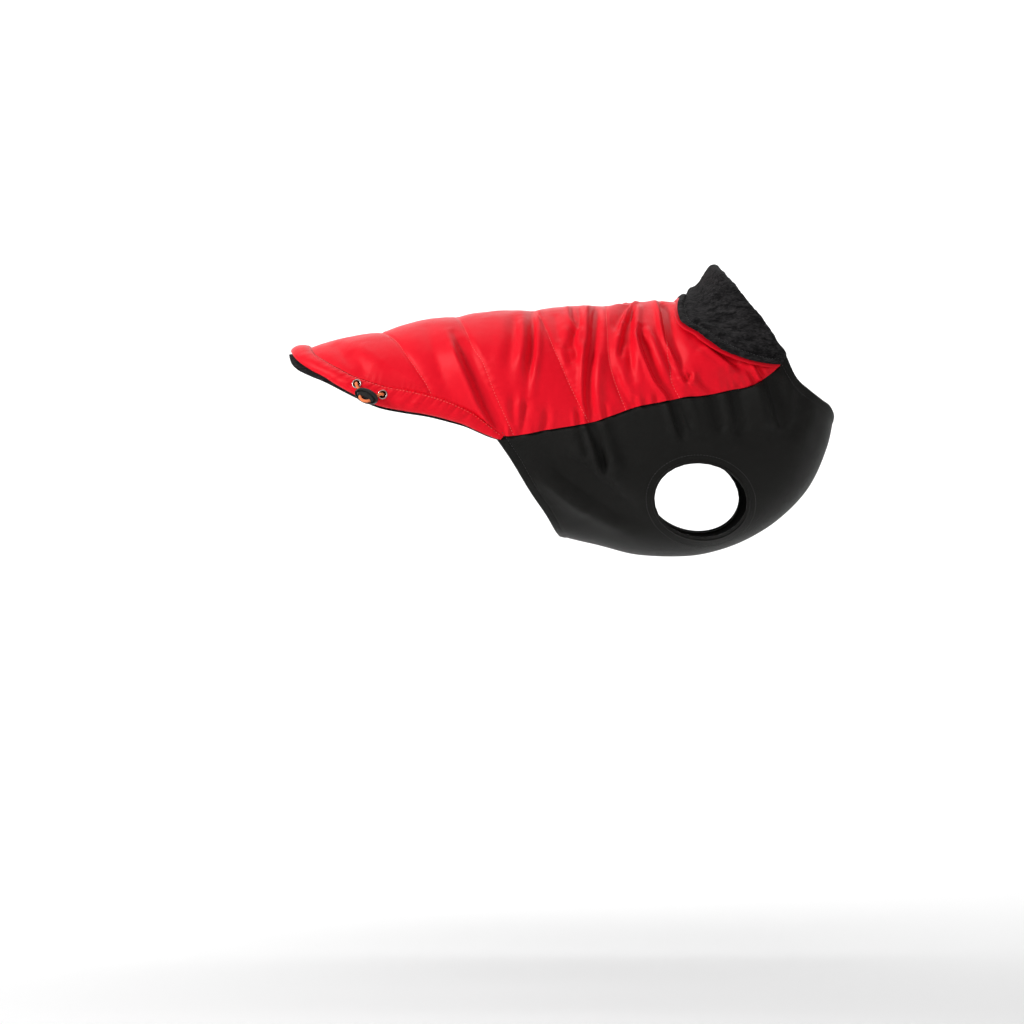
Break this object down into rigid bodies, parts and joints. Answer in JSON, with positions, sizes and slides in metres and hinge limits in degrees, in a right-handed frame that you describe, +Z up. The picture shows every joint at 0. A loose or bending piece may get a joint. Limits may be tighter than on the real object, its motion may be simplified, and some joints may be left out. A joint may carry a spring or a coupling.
{
  "type": "dog jacket",
  "caption": "Quilted back panel with stretch chest panel, turned-down fleece collar and drawcord hem, in its worn, hollow form.",
  "frame": {"origin": "the point of the lining that rests on the wearer's back, on the centre line above the shoulders", "axes": "+X towards the head, -Y towards the wearer's right, +Z up"},
  "size_m": [0.5575, 0.2025, 0.2988],
  "materials": {
    "red_shell": "smooth woven polyester with a soft satin sheen",
    "black_fleece": "brushed polar fleece, matt",
    "black_stretch": "bonded stretch softshell, fine knit face, matt",
    "nickel": "bright nickel plate",
    "black_plastic": "moulded, lightly textured",
    "orange_cord": "braided elastic cord"
  },
  "bodies": {
    "root": {"back_shell": "red_shell", "hem_channel": "red_shell", "collar_shell": "red_shell", "back_lining": "black_fleece", "collar_fleece": "black_fleece", "chest_panel": "black_stretch", "eyelet_rear": "nickel", "eyelet_front": "nickel", "cord_lock": "black_plastic", "drawcord": "orange_cord"}
  },
  "joints": []
}
